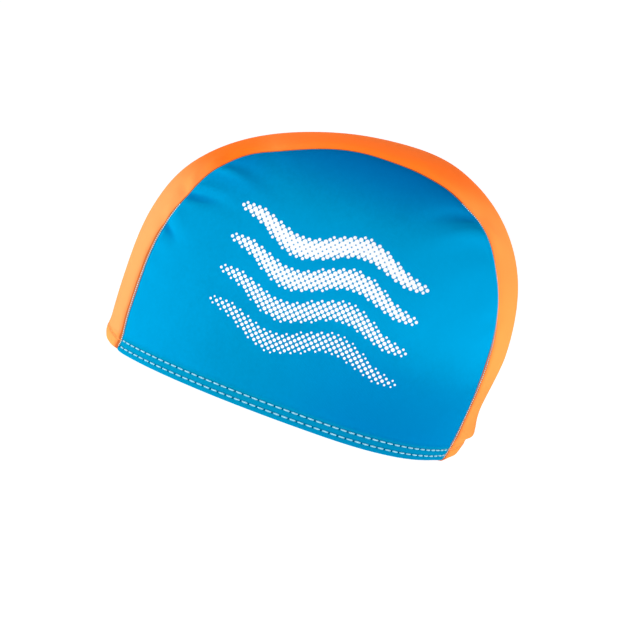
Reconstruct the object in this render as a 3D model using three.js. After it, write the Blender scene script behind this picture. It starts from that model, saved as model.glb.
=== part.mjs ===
// A swim cap in stretch knit. Two side panels are sewn to a centre strip that runs from the forehead
// over the crown to the nape, and each piece has its lower edge turned up inside as a hem.
// The cap is filled out to the shape of a head and stands on its hem, open side down.
// Millimetres, +Z up, forehead towards -X, nape towards +X, the wearer's left towards -Y.
// The origin is on the table, under the middle of the cap.

import * as THREE from "three";

// Overall form
const CROWN_HEIGHT = 141.5;
const CROWN_BEHIND_MIDDLE = 22.9; // the crown's top lies this far behind the middle of the cap
const NOSE_TO_NAPE_BLEND = 32; // the longer front half turns into the back half over this much each way

// The dome's half axes at each latitude, in degrees up from the hem to the crown's top. At a latitude
// the plan is an oval that reaches these distances times the latitude's cosine.
const DOME = [
  { up: 0, front: 117, back: 66, side: 66 },
  { up: 15, front: 124, back: 75.5, side: 71 },
  { up: 30, front: 135.5, back: 84.5, side: 74.5 },
  { up: 45, front: 147.5, back: 92.5, side: 77 },
  { up: 60, front: 153, back: 97.5, side: 79 },
  { up: 75, front: 150, back: 100.5, side: 79 },
  { up: 90, front: 147, back: 103.5, side: 79 },
];

// Cloth
const WALL = 1.2;
const HEM_WALL = 2.4; // the turned-up edge doubles the wall
const HEM_DEPTH = 8;
const HEM_STEP = 0.8; // height over which the hem's double wall ends
const NORMAL_TURNS_FROM = HEM_DEPTH + HEM_STEP; // below this the wall's thickness is measured level
const NORMAL_TURNS_TO = 26;

// Seams between the centre strip and the side panels
const SEAM_GAP = 0.3;
const SEAM_DIP = 0.9; // the cloth draws in along a seam by this much
const SEAM_DIP_REACH = 3.5;

// How far the seam runs from the middle plane at each angle round the side view, in degrees from the
// forehead's hem over the crown to the nape's. The stitching pulls it into shallow kinks.
const SEAM = [
  { angle: 0, half: 22.8 },
  { angle: 3, half: 26.2 },
  { angle: 9, half: 27.2 },
  { angle: 28, half: 28.8 },
  { angle: 41, half: 28.3 },
  { angle: 47, half: 25.6 },
  { angle: 55, half: 24.2 },
  { angle: 63, half: 25.8 },
  { angle: 76, half: 24.8 },
  { angle: 91, half: 28.2 },
  { angle: 104, half: 29.3 },
  { angle: 109, half: 28.0 },
  { angle: 120, half: 30.2 },
  { angle: 150, half: 30.6 },
  { angle: 165, half: 26.6 },
  { angle: 180, half: 25.2 },
];

// Folds in the side panels, drawn in at the seam: angle round the side view, depth (below zero for a
// ridge), width along the seam, reach into the panel, and how far the fold drifts along the seam, away
// from the forehead, with each millimetre inwards.
const FOLDS = [
  { angle: 21, depth: 0.4, width: 3.2, reach: 13, drift: 0.1 },
  { angle: 32.5, depth: 0.9, width: 3.2, reach: 13, drift: 0 },
  { angle: 39.5, depth: 1.2, width: 3.2, reach: 13, drift: 0.1 },
  { angle: 43, depth: 1.0, width: 3.8, reach: 28, drift: 0.7 },
  { angle: 52, depth: -0.8, width: 4.6, reach: 27, drift: 0.5 },
  { angle: 108.5, depth: 1.4, width: 3.4, reach: 25, drift: -0.7 },
  { angle: 115, depth: -0.6, width: 4.2, reach: 22, drift: -0.4 },
  { angle: 129, depth: 0.4, width: 3.6, reach: 14, drift: -0.2 },
];
const FOLD_REACH_IN_STRIP = 0.3; // share of that reach on the strip's side of the seam
const FOLD_AT_SEAM = 0.4; // the stitching holds a fold flatter: this share of its depth is left there
const FOLD_GROWS_OVER = 4; // and it is at its full depth a little over this distance from the seam

// The hem leaves the table a little at the forehead and at the nape: height at the middle, and the
// distance either side of the middle at which it comes down again.
const FOREHEAD_RISE = { height: 2.4, reach: 44 };
const NAPE_RISE = { height: 3.8, reach: 62 };
const RISE_FADES_OVER = 30;

// How far the strip's middle stands off the even form at each height, in front and at the nape, where
// the cloth puffs out above its tight hem.
const FOREHEAD_FLARE = [
  { up: 0, off: 1.4 },
  { up: 4, off: 2.0 },
  { up: 8, off: 1.5 },
  { up: 12, off: 0.4 },
  { up: 24, off: 0 },
];
const NAPE_PUFF = [
  { up: 0, off: 0.6 },
  { up: 7, off: 0.8 },
  { up: 8.8, off: 1.0 },
  { up: 11.2, off: 2.5 },
  { up: 17, off: 1.7 },
  { up: 26, off: 0 },
  { up: 36, off: -0.8 },
  { up: 54, off: 0 },
];

// Mesh steps
const HEM_ROWS = [0, HEM_DEPTH / 2, HEM_DEPTH, HEM_DEPTH + HEM_STEP];
const PANEL_COLUMNS = 50;
const PANEL_ROWS = 17;
const STRIP_RIBS = 72;
const STRIP_COLUMNS = 8;
const FRONT_CORNER = THREE.MathUtils.degToRad(38); // where the panel's front edge becomes its top edge
const BACK_CORNER = THREE.MathUtils.degToRad(140);
const BISECTIONS = 40;

// Where a panel's columns lie between its front and back edges: closer together where the folds are.
const COLUMN_PLACES = [
  { share: 0, place: 0 },
  { share: 0.3, place: 0.2 },
  { share: 0.55, place: 0.6 },
  { share: 0.8, place: 0.8 },
  { share: 1, place: 1 },
];

const BLUE = new THREE.MeshStandardMaterial({ color: 0x0098dc, roughness: 0.55, metalness: 0 });
const ORANGE = new THREE.MeshStandardMaterial({ color: 0xff8a2a, roughness: 0.55, metalness: 0 });

// The value of one column of a table where another column is at a given place, on a smooth curve
// through the rows.
function curve(rows, placeColumn, valueColumn, place) {
  const last = rows.length - 1;
  const at = THREE.MathUtils.clamp(place, rows[0][placeColumn], rows[last][placeColumn]);
  const i = Math.max(0, rows.findLastIndex((row, k) => k < last && row[placeColumn] <= at));
  const slope = (k) => {
    const before = rows[Math.max(k - 1, 0)];
    const after = rows[Math.min(k + 1, last)];
    return (after[valueColumn] - before[valueColumn]) / (after[placeColumn] - before[placeColumn]);
  };
  const width = rows[i + 1][placeColumn] - rows[i][placeColumn];
  const rise = rows[i + 1][valueColumn] - rows[i][valueColumn];
  const t = (at - rows[i][placeColumn]) / width;
  const start = slope(i) * width;
  const end = slope(i + 1) * width;
  return rows[i][valueColumn] + t * (start + t * (3 * rise - 2 * start - end + t * (start + end - 2 * rise)));
}

// Below zero inside the dome, above zero outside it. Here x is measured from the crown's top.
function outside(x, y, z) {
  const latitude = THREE.MathUtils.radToDeg(Math.asin(THREE.MathUtils.clamp(z / CROWN_HEIGHT, 0, 1)));
  const back = THREE.MathUtils.smoothstep(x, -NOSE_TO_NAPE_BLEND, NOSE_TO_NAPE_BLEND);
  const reach = (column) => curve(DOME, "up", column, latitude);
  const along = THREE.MathUtils.lerp(reach("front"), reach("back"), back);
  return (x / along) ** 2 + (y / reach("side")) ** 2 + (z / CROWN_HEIGHT) ** 2 - 1;
}

function bisect(low, high, isPast) {
  for (let i = 0; i < BISECTIONS; i++) {
    const middle = (low + high) / 2;
    if (isPast(middle)) high = middle;
    else low = middle;
  }
  return low;
}

// The point of the dome at a distance y from the middle plane, at an angle round the side view:
// 0 is the forehead's hem and pi the nape's.
function atAngle(angle, y) {
  const ahead = -Math.cos(angle);
  const up = Math.sin(angle);
  const r = bisect(0, 2 * CROWN_HEIGHT, (d) => outside(d * ahead, y, d * up) > 0);
  return new THREE.Vector3(r * ahead, y, r * up);
}

function sideAngle(point) {
  return Math.atan2(point.z, -point.x);
}

function bump(distance, width) {
  return Math.exp(-((distance / width) ** 2));
}

// The strip's half width at an angle round the side view, moved off the seam line by a shift.
function halfWidth(angle, shift) {
  return curve(SEAM, "angle", "half", THREE.MathUtils.radToDeg(angle)) + shift;
}

// The point of the dome at an angle round the side view and a share of the strip's half width.
function stripPoint(angle, share, shift) {
  return atAngle(angle, share * halfWidth(angle, shift));
}

// The angle at which that point is at a height, in front (-1) or at the nape (1).
function angleAtHeight(end, share, shift, height) {
  const fromHem = bisect(0, Math.PI / 2, (a) => stripPoint(end < 0 ? a : Math.PI - a, share, shift).z > height);
  return end < 0 ? fromHem : Math.PI - fromHem;
}

function outwardAt(point) {
  const h = 0.01;
  const slope = (dx, dy, dz) =>
    outside(point.x + dx, point.y + dy, point.z + dz) - outside(point.x - dx, point.y - dy, point.z - dz);
  const upright = THREE.MathUtils.smoothstep(point.z, NORMAL_TURNS_FROM, NORMAL_TURNS_TO);
  const z = point.z > h ? slope(0, 0, h) * upright : 0;
  return new THREE.Vector3(slope(h, 0, 0), slope(0, h, 0), z).normalize();
}

function wallAt(height) {
  return height > HEM_DEPTH ? WALL : HEM_WALL;
}

function hemRise(point) {
  const { height, reach: width } = point.x < 0 ? FOREHEAD_RISE : NAPE_RISE;
  const inside = Math.max(0, 1 - (point.y / width) ** 2);
  return height * inside ** 2 * Math.exp(-point.z / RISE_FADES_OVER);
}

// The outer and inner points of the cloth at a point of the dome that lies a distance from the seam.
function cloth(point, fromSeam, extra = 0) {
  const outward = outwardAt(point);
  const risen = point.clone().setZ(point.z + hemRise(point));
  const outer = risen.addScaledVector(outward, extra - SEAM_DIP * bump(fromSeam, SEAM_DIP_REACH));
  const inner = outer.clone().addScaledVector(outward, -wallAt(point.z));
  return [outer, inner].map((p) => p.setX(p.x + CROWN_BEHIND_MIDDLE));
}

// A closed wall from a grid of [outer, inner] points: both faces and the edge that joins them.
function wallGeometry(grid, flipped) {
  const rows = grid.length;
  const columns = grid[0].length;
  const positions = [];
  for (const face of [0, 1]) {
    for (const row of grid) row.forEach((pair) => positions.push(...pair[face].toArray()));
  }
  const index = [];
  const inner = rows * columns;
  const at = (i, j) => i * columns + j;
  const quad = (a, b, c, d) => index.push(...(flipped ? [a, c, b, a, d, c] : [a, b, c, a, c, d]));
  for (let i = 0; i + 1 < rows; i++) {
    for (let j = 0; j + 1 < columns; j++) {
      const [a, b, c, d] = [at(i, j), at(i, j + 1), at(i + 1, j + 1), at(i + 1, j)];
      quad(a, b, c, d);
      quad(inner + a, inner + d, inner + c, inner + b);
    }
  }
  const edge = [];
  for (let j = 0; j + 1 < columns; j++) edge.push(at(0, j));
  for (let i = 0; i + 1 < rows; i++) edge.push(at(i, columns - 1));
  for (let j = columns - 1; j > 0; j--) edge.push(at(rows - 1, j));
  for (let i = rows - 1; i > 0; i--) edge.push(at(i, 0));
  edge.forEach((a, k) => {
    const b = edge[(k + 1) % edge.length];
    quad(a, inner + a, inner + b, b);
  });
  return new THREE.BufferGeometry()
    .setAttribute("position", new THREE.Float32BufferAttribute(positions, 3))
    .setIndex(index);
}

// How deep the folds are at an angle round the side view and a distance from the seam.
function foldAt(angle, fromSeam, spread) {
  let depth = 0;
  for (const fold of FOLDS) {
    const start = THREE.MathUtils.degToRad(fold.angle) * CROWN_HEIGHT;
    const along = angle * CROWN_HEIGHT - start - fold.drift * fromSeam;
    depth += fold.depth * bump(along, fold.width) * bump(fromSeam, fold.reach * spread);
  }
  return depth * (1 - (1 - FOLD_AT_SEAM) * bump(fromSeam, FOLD_GROWS_OVER));
}

// A side panel is a grid in the side view: level rows in the hem, and above it a patch whose bottom
// edge is the hem's top and whose other three edges are the seam.
function sidePanel(side) {
  const shift = SEAM_GAP / 2;
  const top = HEM_ROWS.at(-1);
  const [start, end] = [-1, 1].map((which) => angleAtHeight(which, 1, shift, top));
  const { lerp } = THREE.MathUtils;
  const mix = (a, b, t) => a.clone().lerp(b, t);
  const front = (t) => stripPoint(lerp(start, FRONT_CORNER, t), 1, shift);
  const back = (t) => stripPoint(lerp(end, BACK_CORNER, t), 1, shift);
  const crown = (t) => stripPoint(lerp(FRONT_CORNER, BACK_CORNER, t), 1, shift);
  const hemLine = (t) => mix(front(0), back(0), t);

  const onDome = (x, z) => {
    const half = bisect(0, 2 * CROWN_HEIGHT, (y) => outside(x, y, z) > 0);
    const point = new THREE.Vector3(x, half, z);
    const angle = sideAngle(point);
    const fromSeam = point.distanceTo(stripPoint(angle, 1, shift));
    return cloth(point, fromSeam, -foldAt(angle, fromSeam, 1));
  };

  const columns = [];
  for (let j = 0; j <= PANEL_COLUMNS; j++) columns.push(curve(COLUMN_PLACES, "share", "place", j / PANEL_COLUMNS));
  const grid = HEM_ROWS.slice(0, -1).map((z) => {
    const ends = [-1, 1].map((which) => stripPoint(angleAtHeight(which, 1, shift, z), 1, shift).x);
    return columns.map((u) => onDome(lerp(...ends, u), z));
  });
  for (let i = 0; i <= PANEL_ROWS; i++) {
    const v = i / PANEL_ROWS;
    const row = columns.map((u) => {
      const across = mix(front(v), back(v), u);
      const upward = mix(hemLine(u), crown(u), v);
      const corners = mix(mix(front(0), back(0), u), mix(front(1), back(1), u), v);
      const point = across.add(upward).sub(corners);
      return onDome(point.x, point.z);
    });
    grid.push(row);
  }
  grid.flat(2).forEach((p) => p.setY(side * p.y));
  return wallGeometry(grid, side > 0);
}

// The centre strip is a row of ribs, each running across the head from seam to seam.
function centreStrip() {
  const shift = -SEAM_GAP / 2;
  const top = HEM_ROWS.at(-1);
  const across = [];
  for (let j = 0; j <= STRIP_COLUMNS; j++) across.push((2 * j) / STRIP_COLUMNS - 1);

  const ribPoint = (angle, share) => {
    const point = stripPoint(angle, share, shift);
    const fromSeam = halfWidth(angle, shift) * (1 - Math.abs(share));
    const ends = point.x < 0 ? FOREHEAD_FLARE : NAPE_PUFF;
    const off = curve(ends, "up", "off", point.z) * Math.cos((Math.PI / 2) * share);
    return cloth(point, fromSeam, off - foldAt(angle, fromSeam, FOLD_REACH_IN_STRIP));
  };
  const level = (end, z) => across.map((share) => ribPoint(angleAtHeight(end, share, shift, z), share));
  const ends = across.map((share) => [-1, 1].map((end) => angleAtHeight(end, share, shift, top)));
  const rib = (t) => across.map((share, j) => ribPoint(THREE.MathUtils.lerp(...ends[j], t), share));

  const hem = HEM_ROWS.slice(0, -1);
  const grid = hem.map((z) => level(-1, z));
  for (let i = 0; i <= STRIP_RIBS; i++) grid.push(rib(i / STRIP_RIBS));
  grid.push(...hem.toReversed().map((z) => level(1, z)));
  return wallGeometry(grid, true);
}

function piece(name, geometry, material) {
  geometry.computeVertexNormals();
  const mesh = new THREE.Mesh(geometry, material);
  mesh.name = name;
  return mesh;
}

const cap = new THREE.Group();
cap.name = "swim_cap";
cap.add(piece("left_panel", sidePanel(-1), BLUE));
cap.add(piece("right_panel", sidePanel(1), BLUE));
cap.add(piece("centre_strip", centreStrip(), ORANGE));

export default cap;
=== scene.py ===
"""A stretch-knit swim cap dressed over its frame: two satin side panels, a centre strip and stitching."""

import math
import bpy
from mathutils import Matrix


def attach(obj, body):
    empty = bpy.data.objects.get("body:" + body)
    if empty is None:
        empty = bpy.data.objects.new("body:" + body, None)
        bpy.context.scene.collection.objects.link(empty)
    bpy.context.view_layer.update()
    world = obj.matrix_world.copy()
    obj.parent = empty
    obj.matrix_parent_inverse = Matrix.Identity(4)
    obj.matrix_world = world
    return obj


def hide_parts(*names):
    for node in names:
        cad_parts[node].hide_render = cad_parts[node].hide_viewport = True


bl_info = {
    "name": "Swim Cap",
    "version": (1, 0, 0),
    "blender": (4, 5, 0),
    "location": "View3D > Sidebar > Swim Cap",
    "description": "Builds a sewn swim cap in stretch knit, filled out to the shape of a head",
    "category": "Add Mesh",
}

import bpy
import numpy as np
from mathutils import Matrix, Vector

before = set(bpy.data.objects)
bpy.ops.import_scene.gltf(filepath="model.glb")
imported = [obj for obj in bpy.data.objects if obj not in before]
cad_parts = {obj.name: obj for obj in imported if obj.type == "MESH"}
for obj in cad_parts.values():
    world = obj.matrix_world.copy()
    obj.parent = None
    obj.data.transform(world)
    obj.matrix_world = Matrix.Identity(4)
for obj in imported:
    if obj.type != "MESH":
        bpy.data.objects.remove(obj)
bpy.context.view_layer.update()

# Units: the tables and the functions on them are in millimetres, and the meshes in metres.
MM = 0.001


def table(columns, *rows):
    """Rows of numbers under the names of their columns."""
    return [dict(zip(columns.split(), row)) for row in rows]


# The cap's form, as in the frame. Forehead towards -X, nape towards +X, the wearer's left towards -Y.
CROWN_HEIGHT = 141.5
CROWN_BEHIND_MIDDLE = 22.9
NOSE_TO_NAPE_BLEND = 32.0
DOME = table(
    "up front back side",
    (0, 117, 66, 66),
    (15, 124, 75.5, 71),
    (30, 135.5, 84.5, 74.5),
    (45, 147.5, 92.5, 77),
    (60, 153, 97.5, 79),
    (75, 150, 100.5, 79),
    (90, 147, 103.5, 79),
)

# How far the seam runs from the middle plane, at each angle round the side view.
SEAM = table(
    "angle half",
    (0, 22.8), (3, 26.2), (9, 27.2), (28, 28.8), (41, 28.3), (47, 25.6), (55, 24.2), (63, 25.8),
    (76, 24.8), (91, 28.2), (104, 29.3), (109, 28.0), (120, 30.2), (150, 30.7), (160, 29.4),
    (168, 27.2), (180, 25.2),
)

# How far the strip's middle stands off the even form at each height, in front and at the nape.
FOREHEAD_FLARE = table(
    "up off",
    (0, 1.4), (4, 2.0), (8, 1.5), (12, 0.9), (20, 0.6), (36, 0.3), (60, 0),
)
NAPE_PUFF = table(
    "up off",
    (0, 0.6), (7, 0.8), (10.6, 0.9), (12.6, 2.7), (17, 1.8), (22, 0.1), (28, -1.0), (38, -1.1),
    (56, 0),
)
FOREHEAD_RISE = dict(height=2.0, reach=29)
NAPE_RISE = dict(height=3.8, reach=62)
RISE_FADES_OVER = 30.0
NORMAL_TURNS = (8.8, 26.0)

# Folds drawn in at the seam: angle round the side view, depth, width along the seam, reach into the
# panel, and how far the fold drifts along the seam for each millimetre inwards.
FOLDS = table(
    "angle depth width reach drift",
    (21, 0.4, 2.8, 13, 0.1),
    (27, 0.4, 2.4, 12, 0.1),
    (32.6, 1.7, 2.5, 14, 0.05),
    (36.4, -0.6, 2.4, 13, 0.1),
    (40.3, 1.9, 2.6, 22, 0.7),
    (48, -1.3, 3.6, 24, 0.75),
    (60, 0.4, 4.0, 20, 0.2),
    (78, 0.2, 4.0, 14, 0.0),
    (107.8, 1.5, 4.8, 25, -0.95),
    (112.8, -0.9, 4.6, 24, -0.9),
    (129, 0.4, 3.0, 14, -0.2),
    (146, 0.25, 3.0, 12, -0.2),
)
FOLD_REACH_IN_STRIP = 0.3
FOLD_WIDENS = 0.5
FOLD_AT_SEAM = 0.08
FOLD_GROWS_OVER = 3.0
RIDGE_BESIDE_FOLD = dict(share=0.45, widths_off=1.9)

# Soft dents in the strip beside the seam: angle, depth, width along the strip and reach from the seam.
STRIP_DENTS = table(
    "angle depth width reach",
    (48, 0.35, 6.0, 9),
    (91, -0.40, 5.0, 8),
    (102, -0.45, 5.0, 8),
    (112, 0.40, 5.0, 9),
)

# Slow waves over the whole cloth: lengths along and up the cap, phase and height.
WAVES = table(
    "along up phase height",
    (61, 83, 0.4, 0.22),
    (-37, 47, 1.9, 0.12),
    (23, -31, 3.1, 0.06),
)

# Ends of the seam's visible thread, and between which angles it rises out of the seam, round the side view.
SEAM_THREAD_SHOWS = [(1.5, 38.0), (103.0, 178.5)]
SEAM_THREAD_RISES = [(41.0, 27.0), (112.0, 140.0)]

# Radius of a panel's lower front corner, and how far the strip's corners reach down at the nape.
HEM_CORNER = 1.6
NAPE_TIP = dict(drop=1.7, reach=3.5)
EDGE_LIFT_FADES_OVER = 2.0

# Inside the cap: the seam allowances, with the height where they start, their rolled edge and how far they
# lie off the panel, the loops sewn over them, and the hem's zigzag. half is a thread's half width and half
# height, in metres.
ALLOWANCE = dict(start=9.5, width=6.0, thick=0.9, roll=0.4, off=0.08)
OVERLOCK = dict(length=2.6, inner_end=2.0, past_edge=0.15, lift=0.16, half=(0.00016, 0.00014))
HEM_LOOPS = dict(lift=0.12, half=(0.00017, 0.00015))

# A stitch of the thread in the seam: its length, how far it lies beside the seam and slants towards it, how
# deep it is sunk, and how far it is raised where it shows and in its middle. Its half width and half height
# are in metres.
SEAM_STITCH = dict(length=0.52, aside=0.58, slant=0.3, sunk=0.1, raised=0.26, arch=0.1)
SEAM_THREAD_HALF = (0.00034, 0.0003)

# A hem stitch: how deep its ends are sunk and how high its middle stands over them, on a panel and on
# the strip, how far the strip's row stays off the seams, and its thread's height as a share of its width.
HEM_STITCH = dict(panel=(-0.22, 0.42), strip=(-0.30, 0.30), margin=1.2)
PANEL_THREAD_HEIGHT = 0.75
STRIP_THREAD = dict(width=0.8, height=0.7)

# The hem's outer face: how far it swells, how deep and how wide its stitched rows sink.
HEM_RELIEF = dict(swell=0.28, row_depth=0.30, row_width=0.55)

# The mesh's steps at the seam, in the hem, at the cloth's edge and over the open cloth, and the angles of
# the panels' upper corners.
MESH = dict(seam=0.22, hem=0.42, edge=0.12, open=1.15, front_corner=38, back_corner=140)

# Where the hem's measured line starts and ends along the cap, and the count of its points.
HEM_LINE = dict(start=-110.0, end=66.0, count=700)

# Both sides of the cap: the sign of Y and the name.
SIDES = ((-1, "left"), (1, "right"))

BISECTIONS = 34
NEAR_SEAM_GAP = 0.12
GRADIENT_STEP = 0.01
WAVES_START = (10.0, 30.0)


# Mathematics of the form


def smooth(value, low, high):
    """0 below low, 1 above high, and a smooth rise between them."""
    t = np.clip((value - low) / (high - low), 0.0, 1.0)
    return t * t * (3.0 - 2.0 * t)


def bump(distance, width):
    return np.exp(-((distance / width) ** 2))


def curve(rows, place, value, at):
    """The value column of a table where its place column is at, on a smooth curve through the rows."""
    places = np.array([row[place] for row in rows], float)
    values = np.array([row[value] for row in rows], float)
    last = len(rows) - 1
    before = np.maximum(np.arange(last + 1) - 1, 0)
    after = np.minimum(np.arange(last + 1) + 1, last)
    slopes = (values[after] - values[before]) / (places[after] - places[before])
    at = np.clip(at, places[0], places[-1])
    i = np.clip(np.searchsorted(places, at, side="right") - 1, 0, last - 1)
    width = places[i + 1] - places[i]
    rise = values[i + 1] - values[i]
    t = (at - places[i]) / width
    start = slopes[i] * width
    end = slopes[i + 1] * width
    return values[i] + t * (start + t * (3 * rise - 2 * start - end + t * (start + end - 2 * rise)))


def reach(x, z):
    """The dome's half length and half breadth for a point of the side view."""
    latitude = np.degrees(np.arcsin(np.clip(z / CROWN_HEIGHT, 0.0, 1.0)))
    back = smooth(x, -NOSE_TO_NAPE_BLEND, NOSE_TO_NAPE_BLEND)
    front = curve(DOME, "up", "front", latitude)
    along = front + (curve(DOME, "up", "back", latitude) - front) * back
    return along, curve(DOME, "up", "side", latitude)


def outside(x, y, z):
    """Below zero inside the dome, above zero outside it."""
    along, side = reach(x, z)
    return (x / along) ** 2 + (y / side) ** 2 + (z / CROWN_HEIGHT) ** 2 - 1.0


def half_breadth(x, z):
    along, side = reach(x, z)
    return side * np.sqrt(np.maximum(0.0, 1.0 - (x / along) ** 2 - (z / CROWN_HEIGHT) ** 2))


def bisect(low, high, is_past):
    for _ in range(BISECTIONS):
        middle = (low + high) / 2.0
        past = is_past(middle)
        high = np.where(past, middle, high)
        low = np.where(past, low, middle)
    return low


def at_angle(angle, y):
    """The point of the dome at a distance y from the middle plane and an angle round the side view."""
    ahead = -np.cos(angle)
    up = np.sin(angle)
    low = np.zeros(np.broadcast(angle, y).shape)
    r = bisect(low, low + 2 * CROWN_HEIGHT, lambda d: outside(d * ahead, y, d * up) > 0)
    return np.stack([r * ahead, y + 0 * r, r * up], -1)


def strip_half(angle, shift):
    return curve(SEAM, "angle", "half", np.degrees(angle)) + shift


def strip_point(angle, share, shift):
    return at_angle(angle, share * strip_half(angle, shift))


def angle_at_height(end, share, shift, height):
    """The angle at which a line along the strip is at a height, in front (-1) or at the nape (1)."""
    low = np.zeros(np.broadcast(share, height).shape)

    def is_past(angle):
        around = angle if end < 0 else math.pi - angle
        return strip_point(around, share, shift)[..., 2] > height

    found = bisect(low, low + math.pi / 2, is_past)
    return found if end < 0 else math.pi - found


def outward_at(p):
    """The cloth's outward direction, which is level in the hem."""
    x, y, z = p[..., 0], p[..., 1], p[..., 2]
    h = GRADIENT_STEP
    dx = outside(x + h, y, z) - outside(x - h, y, z)
    dy = outside(x, y + h, z) - outside(x, y - h, z)
    above = np.maximum(z, h)
    dz = (outside(x, y, above + h) - outside(x, y, above - h)) * smooth(z, *NORMAL_TURNS)
    normal = np.stack([dx, dy, dz], -1)
    return normal / np.linalg.norm(normal, axis=-1, keepdims=True)


def hem_rise(p):
    rise = 0.0
    for ahead, table in ((p[..., 0] < 0, FOREHEAD_RISE), (p[..., 0] >= 0, NAPE_RISE)):
        inside = np.maximum(0.0, 1.0 - (p[..., 1] / table["reach"]) ** 2)
        rise = rise + ahead * table["height"] * inside**2
    return rise * np.exp(-p[..., 2] / RISE_FADES_OVER)


def risen_with_hem(p):
    """The points, lifted as the hem's edge rises in front and behind."""
    risen = p.copy()
    risen[..., 2] += hem_rise(p)
    return risen


def rolled(distance, radius):
    """How far a rounded edge falls away at a distance from the edge."""
    left = radius - np.clip(distance, 0.0, radius)
    return radius - np.sqrt(np.maximum(radius**2 - left**2, 0.0))


def full_fold_at(angle, from_seam, on_strip):
    """How deep the folds would be if the seam let them run out, at an angle round the side view."""
    depth = 0.0
    for fold in FOLDS:
        along = np.radians(np.degrees(angle) - fold["angle"]) * CROWN_HEIGHT
        drift = 0.0 if on_strip else fold["drift"]
        reach_in = fold["reach"] * (FOLD_REACH_IN_STRIP if on_strip else 1.0)
        centre = along - drift * from_seam
        width = fold["width"] * (1.0 + FOLD_WIDENS * from_seam / reach_in)
        beside = bump(centre - RIDGE_BESIDE_FOLD["widths_off"] * width, width)
        shape = bump(centre, width) - RIDGE_BESIDE_FOLD["share"] * beside
        depth = depth + fold["depth"] * shape * bump(from_seam, reach_in)
    return depth


def fold_at(angle, from_seam, on_strip):
    """How deep the folds are, which the seam holds nearly flat along it."""
    held = 1.0 - (1.0 - FOLD_AT_SEAM) * bump(from_seam, FOLD_GROWS_OVER)
    return full_fold_at(angle, from_seam, on_strip) * held


def strip_dent_at(angle, from_seam):
    depth = 0.0
    for dent in STRIP_DENTS:
        along = np.radians(np.degrees(angle) - dent["angle"]) * CROWN_HEIGHT
        beside = bump(from_seam - dent["reach"], dent["reach"] / 2)
        depth = depth + dent["depth"] * bump(along, dent["width"]) * beside
    return depth


def wave_at(p):
    height = 0.0
    for wave in WAVES:
        phase = 2 * math.pi * (p[..., 0] / wave["along"] + p[..., 2] / wave["up"]) + wave["phase"]
        height = height + wave["height"] * np.sin(phase)
    return height * smooth(p[..., 2], *WAVES_START)


def graded(length, start, middle, end):
    """Places from 0 to length whose steps grow from start to middle and shrink to end."""
    places = [0.0]
    while places[-1] < length:
        here = places[-1]
        near_start = min(1.0, here / (10 * middle))
        near_end = min(1.0, max(0.0, length - here) / (10 * middle))
        step = min(start + (middle - start) * near_start, end + (middle - end) * near_end)
        places.append(here + step)
    return np.array(places) * (length / places[-1])


# Mesh building


def centred(points):
    """Millimetres about the crown to metres about the middle of the cap."""
    return (points + np.array([CROWN_BEHIND_MIDDLE, 0.0, 0.0])) * MM


def on_side(points, side):
    """Points worked out at +Y, as they lie on the wearer's left (-1) or right (1)."""
    return points * np.array([1.0, side, 1.0])


def run_along(line):
    """The distance along a line of points from its first one."""
    return np.concatenate([[0.0], np.linalg.norm(np.diff(line, axis=0), axis=1).cumsum()])


def grid_faces(rows, columns, offset=0, flipped=False):
    i, j = np.meshgrid(np.arange(rows - 1), np.arange(columns - 1), indexing="ij")
    a = offset + i * columns + j
    quads = np.stack([a, a + 1, a + columns + 1, a + columns], -1).reshape(-1, 4)
    return quads[:, ::-1] if flipped else quads


def rim_loop(rows, columns):
    """The indices round a grid's edge, in order."""
    top = np.arange(columns - 1)
    right = np.arange(rows - 1) * columns + columns - 1
    bottom = (rows - 1) * columns + np.arange(columns - 1, 0, -1)
    left = np.arange(rows - 1, 0, -1) * columns
    return np.concatenate([top, right, bottom, left])


def new_object(name, points, faces, material_of_face=None, layers=None):
    """A mesh object. layers holds named pairs of numbers for each point, kept as texture places."""
    mesh = bpy.data.meshes.new(name)
    mesh.from_pydata(points.reshape(-1, 3).tolist(), [], [list(face) for face in faces])
    if material_of_face is not None:
        mesh.polygons.foreach_set("material_index", material_of_face.astype(np.int32))
    corner = np.empty(len(mesh.loops), np.int32)
    mesh.loops.foreach_get("vertex_index", corner)
    for key, pairs in (layers or {}).items():
        layer = mesh.uv_layers.new(name=key)
        layer.data.foreach_set("uv", pairs.reshape(-1, 2)[corner].astype(np.float32).ravel())
    mesh.polygons.foreach_set("use_smooth", np.ones(len(mesh.polygons), bool))
    mesh.validate()
    mesh.update()
    piece = bpy.data.objects.new(name, mesh)
    bpy.context.scene.collection.objects.link(piece)
    return piece


def cloth_shell(name, outer, inner, layers, flipped):
    """A closed wall from two grids of points: the outer face, the inner face and the edge between them."""
    rows, columns = outer.shape[:2]
    count = rows * columns
    outer_faces = grid_faces(rows, columns, 0, flipped)
    inner_faces = grid_faces(rows, columns, count, not flipped)
    loop = rim_loop(rows, columns)
    after = np.roll(loop, -1)
    rim = np.stack([loop, loop + count, after + count, after], -1)
    if flipped:
        rim = rim[:, ::-1]
    points = np.concatenate([outer.reshape(-1, 3), inner.reshape(-1, 3)])
    faces = np.concatenate([outer_faces, inner_faces, rim])
    slots = np.concatenate([np.zeros(len(outer_faces)), np.ones(len(inner_faces) + len(rim))])
    doubled = {key: np.concatenate([pairs, pairs]) for key, pairs in layers.items()}
    return new_object(name, points, faces, slots, doubled)


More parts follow.
